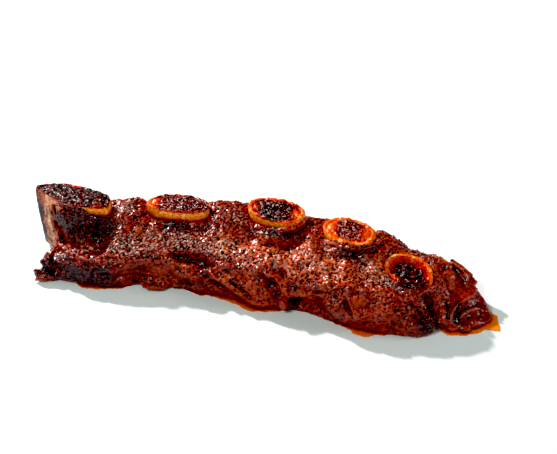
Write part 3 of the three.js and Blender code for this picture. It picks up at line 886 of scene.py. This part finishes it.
# Places where it didn't come.
CLEAR = [
    ((-69, 9, 40), (9, 7, 4), 1.0),
    ((-54, 21, 40), (17, 3, 4), 0.7),
    ((22, 17, 40), (7, 9, 4), 1.1),
    ((-11, 18, 40), (6, 8, 4), 1.0),
    ((2, 28, 41), (16, 3, 4), 0.8),
    ((64, 9, 38), (7, 9, 4), 1.0),
    ((50, 1, 36), (16, 3, 4), 0.9),
    ((38, 13, 38), (6, 8, 4), 1.0),
    ((-97, -3, 39), (6, 2.4, 4), 0.6),
    ((-115, 14, 41), (7, 3, 3), 0.8),
    ((75, -3, 30), (4, 8, 5), 0.5),
    ((94, 6, 31), (11, 3, 5), 0.6),
]
# The slanting face at the left end of the first rib, and the dark stains along its edges.
SAWN_FACE = np.array((-0.446, -0.895, 0))
SAWN_ENDS = -121
STAINED = [
    ((-138, 6, 37), (4.5, 6, 9), 1.2),
    ((-136, 4.8, 24), (3.6, 6, 10), 1.2),
    ((-134.4, 3.4, 10), (3.4, 6, 9), 1.2),
    ((-124.4, -1.5, 24), (2.2, 4, 8), 0.9),
    ((-130, 1, 7), (6, 4, 3), 0.5),
]


# %% Measures on a bone
# A point faces up when the upward part of its normal is more than this.
FACES_UP = 0.9
# The sawn tops slope, but no point of one lies further below its highest point than this, in millimetres.
TOP_FALLS = 9


def below_saw_cut(places, normals):
    """How far each point lies below the sawn top, in millimetres. The cut is a plane laid through the
    points that face up."""
    top = (normals[:, 2] > FACES_UP) & (places[:, 2] > places[:, 2].max() - TOP_FALLS)
    flat = np.c_[places[top][:, :2], np.ones(top.sum())]
    plane = np.linalg.lstsq(flat, places[top][:, 2], rcond=None)[0]
    return np.c_[places[:, :2], np.ones(len(places))] @ plane - places[:, 2]


def distance_to(node, places):
    """How far each point is from a solid of the frame, in millimetres."""
    solid = search_tree(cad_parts[node].data)
    return np.array([solid.find_nearest(p * MM)[3] for p in places]) / MM


# Sizes in the crust, in millimetres: its ridges, its lumps and the grit on them. Its border wanders in
# bays and nicks.
RIDGE = 3.4
LUMP = 2.3
GRIT = 1.3
BAY = 4.2
NICK = 1.6


def crust(places):
    """The relief of the charred crust. It depends only on where a point is from above."""
    flat = places * (1, 1, 0)
    return 0.45 * field(flat, LUMP, 1.7) + 0.3 * field(flat, GRIT, 5.2) + 0.5 * (ridges(flat, RIDGE) - 0.5)


def char_at(places, inwards, creep, red_edge):
    """How charred a point is that lies so far inwards of the line between a ring and its core."""
    uneven = 1.6 * field(places, BAY, 4.4) + 1.2 * field(places, NICK, 2.2)
    char = step(creep + inwards + uneven, -red_edge, red_edge)
    char *= 1 - np.clip(near(places, CLEAR), 0, 1)
    return np.maximum(char, np.clip(near(places, BURNT), 0, 1))


def keep_bone(piece, brown, ash_and_glints, **masks):
    """Keeps the masks of a ring or a core, how brown the whole piece is, and how many pale specks of ash and
    painted highlight lie on it.
    """
    points = len(piece.data.vertices)
    for name, values in masks.items():
        keep(piece.data, name, values)
    keep(piece.data, "brown", np.full(points, brown))
    keep(piece.data, "ash_and_glints", np.full(points, ash_and_glints))


# %% Shape the rings
BONE_SQUARE = 0.6 * MM
# A core's top is lower than its ring's. Points near the top are measured from a place this far below, so
# that only their distance sideways counts.
TOP_DEPTH = 3
LOOK_BELOW = 4
# The wall's colour changes down to this depth, in millimetres.
DEEPEST = 20
# A saw tears out chips of these sizes, and breaks the rim in wider bites, all in millimetres.
CHIP = 2.4
SMALL_CHIP = 1.2
BITE = 3.4
# How deep the chips are on the whole wall, and how much deeper at the rim.
WALL_CHIPS = 0.18
RIM_CHIPS = 0.2
# The ring has this share of the crust's height on its top.
CRUST_ON_RING = 0.8
# On the last rib the scorch spreads over the ring and its outer wall. On the others the wall is bare.
SCORCHED_OUTSIDE = "rib_5"


def roast_ring(node):
    """The ring of hard bone that stands for a rib of the frame."""
    creep, red_edge, brown, ash_and_glints, _ = ROASTED[node[-1]]
    bone = copy_solid(node, "bone_" + node[-1])
    even_skin(bone, BONE_SQUARE, soften=2)
    places, normals = points_of(bone.data)
    below = below_saw_cut(places, normals)
    looked_up = places - (below < TOP_DEPTH)[:, None] * (0, 0, LOOK_BELOW)
    from_core = distance_to(node.replace("rib", "core"), looked_up)

    # The rim is the uppermost two millimetres of the wall.
    rim = 1 - step(below, 0.4, 2.2)
    chips = field(places, CHIP, 1.7, stretch=(1, 1, 2)) + 0.6 * field(places, SMALL_CHIP, 5.2)
    chips -= 1.2 * rim * step(field(places, BITE, 8.1), 0.1, 0.4)
    moved = places + normals * ((WALL_CHIPS + RIM_CHIPS * rim) * chips)[:, None]
    moved[:, 2] += (1 - step(below, 0.1, 1.2)) * CRUST_ON_RING * crust(places)
    set_points(bone.data, moved)

    char = char_at(places, -from_core, creep, red_edge)
    # The outer wall begins under the rim, with a ragged border, and some way out from the core.
    outside = step(below + 0.9 * field(places, 2.2, 6.1), 0.3, 1.5) * step(from_core, 1.2, 2.4)
    char *= 1 - outside * (node != SCORCHED_OUTSIDE)
    on_face = step(normals @ SAWN_FACE, 0.8, 0.95) * (1 - step(places[:, 0], SAWN_ENDS, SAWN_ENDS + 3))
    stains = near(places, STAINED) + 0.8 * (1 - step(below, 0.5, 3.5))
    keep_bone(
        bone, brown, ash_and_glints, char=char, sawn=on_face, edge=np.clip(stains, 0, 1),
        below=np.clip(below / DEEPEST, 0, 1) * step(from_core, 0.5, 1.5),
    )
    return bone


bones = {node: roast_ring(node) for node in RIBS}

# %% Shape the cores
# A core swells out by this much at its top, in millimetres, and closes the groove to its ring.
SWELLS_OUT = 0.9


def roast_core(node):
    """The charred spongy bone that stands for a core of the frame."""
    creep, red_edge, brown, ash_and_glints, lift = ROASTED[node[-1]]
    core = copy_solid(node, "marrow_" + node[-1])
    even_skin(core, BONE_SQUARE, soften=1)
    places, normals = points_of(core.data)
    from_ring = distance_to(node.replace("core", "rib"), places)
    # Only the uppermost three millimetres of a core are changed.
    at_top = 1 - step(below_saw_cut(places, normals), 0.5, 3)
    places += normals * (1, 1, 0) * (SWELLS_OUT * at_top)[:, None]
    places[:, 2] += at_top * (lift + crust(places))
    set_points(core.data, places)
    nowhere = np.zeros(len(places))
    char = char_at(places, from_ring, creep, red_edge)
    keep_bone(core, brown, ash_and_glints, char=char, sawn=nowhere, edge=nowhere, below=nowhere)
    return core


cores = {node.replace("rib", "core"): roast_core(node.replace("rib", "core")) for node in RIBS}

# %% [markdown]
# ## Roasted bone: the material
#
# Bone is a hard mineral in dried collagen. Roasting turns it from ivory to gold and brown, and marrow fat
# fries on it. The sawn wall is smooth with fine stains and chips, under a thin film of fat: orange where
# the fat soaked in near the rim, and brown further down. The crust is charcoal full of holes, so it is
# black, with red edges where it still has fat, and pale specks on it that are partly ash and partly
# painted highlight. All of it is one material, and the masks of each piece say which part of it shows.
# Two materials would need a sharp border, and char has none.

# %% Roasted bone: the wall
# Sizes in millimetres. Chips and specks of half a millimetre are drawn at about one, to show.
STAIN = 4.5
CHAR_PATCH = 2.2
SPECKLE = 1.1
ASH_AND_GLINT_SPECK = 1.0

bone_skin, tree, shader = new_material("roasted rib bone with a charred crust")
read = {name: add(tree, "Attribute", attribute_name=name).outputs["Fac"]
        for name in ("below", "char", "brown", "ash_and_glints", "sawn", "edge")}
stains = mottling(tree, STAIN, detail=4, roughness=0.65)
patches = mottling(tree, CHAR_PATCH, roughness=0.65)
speckle = mottling(tree, SPECKLE, detail=2)
specks = mottling(tree, ASH_AND_GLINT_SPECK, detail=0)
# From the rim downwards: orange, gold, then brown.
depth = weighted(tree, (stains, 0.14), (read["below"], 1.0), (1.0, -0.07))
wall = set_ramp(add(tree, "ValToRGB", {"Fac": depth}), [
    (0.0, "f45c08"), (0.05, "fc7c14"), (0.11, "ffa040"), (0.20, "f08428"), (0.30, "a03c10"),
    (0.45, "702c12"), (1.0, "4a1c0e"),
])
wall = layer(tree, wall, linear("b84c0c"), patches, 0.54, 0.62, 0.7)
wall = layer(tree, wall, linear("6a200c"), speckle, 0.54, 0.62, 0.85)
# Bone that took up no fat stays ivory. It shows only in the upper part.
upper = add(tree, "MapRange", {"Value": read["below"], "From Min": 0.35, "From Max": 0.2}).outputs[0]
wall = layer(tree, wall, linear("ffcc80"), stains, 0.52, 0.62, 0.8, within=upper)

# %% Roasted bone: the sawn face
# A saw leaves upright streaks. They are noise drawn out along z, 1.3 mm wide.
SAW_MARK = 1.3
UPRIGHT = (1, 1, 0.15)

place = add(tree, "Mapping", {"Vector": add(tree, "TexCoord").outputs["Object"], "Scale": UPRIGHT})
saw_marks = add(tree, "TexNoise", {"Vector": place.outputs[0], "Scale": 1 / (SAW_MARK * MM), "Detail": 3})
marks = weighted(tree, (saw_marks.outputs["Fac"], 0.3), (stains, 0.4), (patches, 0.3), (read["edge"], -0.16))
face = set_ramp(add(tree, "ValToRGB", {"Fac": marks}), [
    (0.34, "4a1014"), (0.42, "a4543c"), (0.48, "e09c70"), (0.58, "ffd8b0"),
])
dots = weighted(tree, (speckle, 1.0), (read["edge"], 0.1))
face = layer(tree, face, linear("4a100e"), dots, 0.55, 0.60, 0.9)
# Glaze ran over its edges and burnt there.
stained = weighted(tree, (read["edge"], 0.8), (patches, 1.4), (speckle, 0.6))
face = layer(tree, face, linear("2c080e"), stained, 1.35, 1.6, 0.95)
wall = layer(tree, wall, face, read["sawn"])

# %% Roasted bone: char
# Charcoal is black. Where it holds fat it glistens dark red to orange. Pale specks lie on it, partly ash
# and partly painted highlight.
crusty = weighted(tree, (patches, 0.55), (speckle, 0.35), (read["brown"], 0.17))
charred = set_ramp(add(tree, "ValToRGB", {"Fac": crusty}), [
    (0.40, "080304"), (0.48, "240808"), (0.55, "701410"), (0.62, "c04a24"), (0.72, "f89868"),
])
charred = layer(tree, charred, linear("d8b0ac"), specks, 0.64, 0.70, within=read["ash_and_glints"])
# Towards bare bone the char turns red and then orange. Deep down the wall it stops.
char = weighted(tree, (speckle, 1.1), (patches, 0.6), (read["char"], 1.0), (1.0, -0.85))
scorched = set_ramp(add(tree, "ValToRGB", {"Fac": char}), [
    (0.1, "f0600c"), (0.3, "dc3408"), (0.5, "90140a"), (0.7, "4a0808"),
])
high_up = add(tree, "MapRange", {"Value": read["below"], "From Min": 0.4, "From Max": 0.3}).outputs[0]
colour = layer(tree, wall, scorched, char, 0.0, 0.2, within=high_up)
colour = layer(tree, colour, charred, char, 0.5, 0.8)
tree.links.new(colour, shader.inputs["Base Color"])

# %% Roasted bone: gloss and grit
# The film of fat is thinner than on the meat, so it covers less.
grit = weighted(tree, (specks, 0.8), (speckle, 1.0))
bump = add(tree, "Bump", {"Height": grit, "Strength": 0.8, "Distance": 0.4 * MM})
tree.links.new(bump.outputs["Normal"], shader.inputs["Normal"])
tree.links.new(bump.outputs["Normal"], shader.inputs["Coat Normal"])
shader.inputs["Roughness"].default_value = 0.5
shader.inputs["Coat Weight"].default_value = 0.4
shader.inputs["Coat Roughness"].default_value = 0.15
shader.inputs["Coat IOR"].default_value = GLAZE_IOR
shader.inputs["Specular IOR Level"].default_value = 0.1
for piece in [*bones.values(), *cores.values()]:
    piece.data.materials.append(bone_skin)
print(f"{bone_skin.name}: {len(tree.nodes)} nodes")

# %% [markdown]
# ## Grains of spice and char
#
# The rub is coarse: flakes of pepper, sugar crystals that have burnt, crumbs of dried meat. They are too
# small for the skin's net, so they are real little stones, about a millimetre across, sown over the
# bark. Blender could scatter them with Geometry Nodes, but one array of points is as quick, and it
# leaves one plain mesh for each kind. A stone is a ball of twenty triangles pulled out of shape, and no
# two are alike.

# %% How to sow
rng = np.random.default_rng(11)
# A stone's corners are pulled in or out by these shares, and it is this much narrower than long.
CORNERS_PULLED = (0.7, 1.25)
WIDTHS = (0.6, 1)
# A stone's middle lies above the skin by this share of half its thickness, so nearly half of it sinks in.
RAISED = 0.2
# No stone gets nearer to the table than this, in millimetres.
ABOVE_TABLE = 0.05


def ball():
    """The twenty-sided ball that every grain starts from."""
    shape = bmesh.new()
    bmesh.ops.create_icosphere(shape, subdivisions=1, radius=1)
    corners = np.array([v.co for v in shape.verts])
    sides = np.array([[v.index for v in f.verts] for f in shape.faces])
    shape.free()
    return corners, sides


def triangles_of(piece):
    """The corners of each triangle of a piece, in millimetres, with the numbers of its points."""
    mesh = piece.data
    mesh.calc_loop_triangles()
    corners = np.empty(len(mesh.loop_triangles) * 3, np.int32)
    mesh.loop_triangles.foreach_get("vertices", corners)
    corners = corners.reshape(-1, 3)
    places, normals = points_of(mesh)
    return places[corners], normals[corners].mean(1), corners


def sow(name, piece, count, sizes, weight, squash=0.6):
    """Sows grains over a piece. Their sizes are radii in millimetres, weight says how thickly each point
    is sown, and squash how flat they are."""
    corners, facing, numbers = triangles_of(piece)
    area = np.linalg.norm(np.cross(corners[:, 1] - corners[:, 0], corners[:, 2] - corners[:, 0]), axis=1)
    chance = area * weight[numbers].mean(1)
    picked = rng.choice(len(corners), count, p=chance / chance.sum())
    shares = rng.dirichlet((1, 1, 1), count)
    spots = (corners[picked] * shares[:, :, None]).sum(1)
    up = facing[picked] / np.linalg.norm(facing[picked], axis=1, keepdims=True)
    size = rng.uniform(*sizes, count)
    side = np.cross(up, rng.normal(size=(count, 3)))
    side /= np.linalg.norm(side, axis=1, keepdims=True)
    across = np.cross(up, side)
    points, sides = ball()
    lumpy = points[None] * rng.uniform(*CORNERS_PULLED, (count, len(points), 1))
    shapes = np.stack([np.ones(count), rng.uniform(*WIDTHS, count), np.full(count, squash)], 1)
    lumpy = lumpy * (size[:, None, None] * shapes[:, None, :])
    turned = lumpy[..., 0:1] * side[:, None] + lumpy[..., 1:2] * across[:, None]
    turned = turned + lumpy[..., 2:3] * up[:, None]
    turned += (spots + up * (RAISED * squash * size)[:, None])[:, None]
    turned[..., 2] = np.maximum(turned[..., 2], ABOVE_TABLE)
    faces = (sides[None] + len(points) * np.arange(count)[:, None, None]).reshape(-1, 3)
    mesh = bpy.data.meshes.new(name)
    mesh.from_pydata((turned.reshape(-1, 3) * MM).tolist(), [], faces.tolist())
    mesh.update()
    print(f"{name}: {count} grains, {len(faces)} triangles")
    return link_piece(name, mesh)


def values_of(piece, name):
    """The numbers that a piece keeps for its points under a name."""
    values = np.empty(len(piece.data.vertices), np.float32)
    piece.data.attributes[name].data.foreach_get("value", values)
    return values.astype(float)


# %% Sow them
# Burnt and unburnt grains lie in beds of their own, this wide in millimetres.
BED_SIZE = 14
GRAINS = 2200
BEADS = 1200
GRAIN_RADII = (0.35, 0.8)
BEAD_RADII = (0.4, 0.8)

on_bark = values_of(meat, "bark") ** 1.5 + 0.04
beds = field(points_of(meat.data)[0], BED_SIZE, 6.6)
burnt = sow("burnt_grains", meat, GRAINS, GRAIN_RADII, on_bark * np.clip(0.7 - beds, 0.1, 2))
spice = sow("spice_grains", meat, GRAINS, GRAIN_RADII, on_bark * np.clip(0.7 + beds, 0.1, 2))
beads = sow("glaze_beads", meat, BEADS, BEAD_RADII, on_bark, squash=0.8)
beads.data.shade_smooth()

# %% Materials of the grains
# Burnt sugar is glassy and black, paprika is a dull red powder bound by fat, and glaze dries in smooth
# beads. All of them wear the same film as the meat, and their colours vary from grain to grain.
HUE_SIZE = 1.5
DARKER = 0.45
LIGHTER = 1.8
for piece, name, hex_colour, roughness in (
    (burnt, "burnt sugar and pepper", "1a0a09", 0.3),
    (spice, "paprika and dried meat", "8f2a14", 0.35),
    (beads, "beads of glaze", "7a1c0c", 0.15),
):
    grain_skin, tree, shader = new_material(name)
    darker = (*[c * DARKER for c in linear(hex_colour)[:3]], 1)
    lighter = (*[min(1, c * LIGHTER) for c in linear(hex_colour)[:3]], 1)
    colour = layer(tree, darker, lighter, mottling(tree, HUE_SIZE, detail=2), 0.35, 0.65)
    tree.links.new(colour, shader.inputs["Base Color"])
    shader.inputs["Roughness"].default_value = roughness
    shader.inputs["Coat Weight"].default_value = 1
    shader.inputs["Coat Roughness"].default_value = 0.15
    shader.inputs["Coat IOR"].default_value = GLAZE_IOR
    shader.inputs["Specular IOR Level"].default_value = 0.1
    piece.data.materials.append(grain_skin)

# %% [markdown]
# ## Oil on the sheet
#
# Fat and glaze run out under the rack while it rests and make a film with an orange edge. It is thin, but
# it has a thickness: each pool starts as a flat outline, gets a height of half a millimetre, and a voxel
# remesh and some smoothing round its edge into a meniscus. Noise then makes the edge wander, because oil
# creeps along the grain of paper.

# %% Outlines of the pools
# They are in millimetres, and their hidden sides lie under the meat.
POOLS = [
    [(109.4, -19.3), (111.4, -21.4), (114.4, -22.4), (118.3, -22.4), (123.1, -21.3), (127, -19.5),
     (130.7, -17.8), (132.9, -16.4), (135.4, -13.7), (139.9, -13.5), (143.4, -12.6), (142, -6.6),
     (140.8, -0.7), (137.8, 0.8), (135.2, 3.3), (132.3, 3.6), (124, -2), (112, -12)],
    [(-107, -25.4), (-100.7, -30.2), (-94.8, -29.8), (-88.9, -29), (-84.5, -27.6), (-77.8, -25.8),
     (-70, -20), (-60, -20), (-57.4, -22.8), (-53.4, -20), (-50, -18), (-40.8, -18), (-36.8, -18.8),
     (-30.7, -21), (-26.2, -20.1), (-21.7, -20.8), (-17.3, -21.8), (-11, -23.2), (-5.3, -24.9),
     (-2.8, -27.2), (1.5, -28.2), (8.3, -27.2), (16.1, -25), (24, -22), (24, -14), (-107, -14)],
    [(42, -24), (48, -26.6), (56, -29.4), (60.4, -30.6), (63.1, -33.6), (66.8, -35.3), (71.2, -34.3),
     (73.8, -32.4), (80, -31.2), (86, -28), (84, -24), (42, -20)],
]
print(f"{len(POOLS)} pools")

# %% Pour the oil
# Its thickness in millimetres. It starts just above the sheet, so that the two never share a place.
OIL_THICK = 0.5
OIL_STARTS = 0.02
OIL_LOWEST = 0.01
OIL_SQUARE = 0.4 * MM
# How far the edge wanders, in millimetres, and the sizes of its bays.
EDGE_WANDERS = 0.8
EDGE_BAYS = (4.0, 2.0, 1.0)
# The film's colour changes up to this far from the meat, in millimetres.
FAR_FROM_MEAT = 10

shape = bmesh.new()
for outline in POOLS:
    low = [shape.verts.new(Vector((x, y, OIL_STARTS)) * MM) for x, y in outline]
    high = [shape.verts.new(Vector((x, y, OIL_THICK)) * MM) for x, y in outline]
    shape.faces.new(low[::-1])
    shape.faces.new(high)
    for i in range(len(outline)):
        j = (i + 1) % len(outline)
        shape.faces.new((low[i], low[j], high[j], high[i]))
bmesh.ops.triangulate(shape, faces=shape.faces)
bmesh.ops.recalc_face_normals(shape, faces=shape.faces)
mesh = bpy.data.meshes.new("oil")
shape.to_mesh(mesh)
shape.free()
oil = link_piece("oil_film", mesh)
even_skin(oil, OIL_SQUARE, soften=3)
places, normals = points_of(oil.data)
wide, middling, narrow = EDGE_BAYS
wavy = field(places, wide, 1.2) + 0.8 * field(places, middling, 3.9) + 0.6 * field(places, narrow, 8.8)
places += normals * (1, 1, 0) * (EDGE_WANDERS * wavy)[:, None]
places[:, 2] = np.clip(places[:, 2], OIL_LOWEST, OIL_THICK)
set_points(oil.data, places)
skin = search_tree(meat.data)
from_meat = np.array([skin.find_nearest(p * MM)[3] for p in places]) / MM
keep(oil.data, "from_meat", np.clip(from_meat / FAR_FROM_MEAT, 0, 1))
print(f"the oil reaches {from_meat.max():.1f} mm out from the meat")

# %% Melted fat and glaze
# Melted fat has an index of 1.46 and lies as smooth as water. It is brown against the meat, where juice is
# mixed in, and clear orange further out.
FAT_IOR = 1.46
CLOUD = 4

film, tree, shader = new_material("melted fat and glaze")
away = add(tree, "Attribute", attribute_name="from_meat").outputs["Fac"]
cloudy = weighted(tree, (mottling(tree, CLOUD), 0.3), (away, 1.0), (1.0, -0.15))
colour = set_ramp(add(tree, "ValToRGB", {"Fac": cloudy}), [
    (0.0, "6a1606"), (0.08, "b43c08"), (0.2, "f06c08"), (0.45, "ff8a14"),
])
tree.links.new(colour, shader.inputs["Base Color"])
shader.inputs["Roughness"].default_value = 0.25
shader.inputs["Coat Weight"].default_value = 1
shader.inputs["Coat Roughness"].default_value = 0.05
shader.inputs["Coat IOR"].default_value = FAT_IOR
oil.data.materials.append(film)

# %% [markdown]
# ## The pieces ride with the rack
#
# Each new piece rides with the rack, and the solid of the frame that it stands for is hidden.

# %% Ride and replace
for piece, node, slot in (
    [(meat, "meat", "glazed_meat")]
    + [(bone, node, "roasted_bone") for node, bone in bones.items()]
    + [(core, node, "charred_core") for node, core in cores.items()]
):
    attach(piece, "root")
    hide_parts(node)
for piece in (burnt, spice, beads, oil):
    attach(piece, "root")
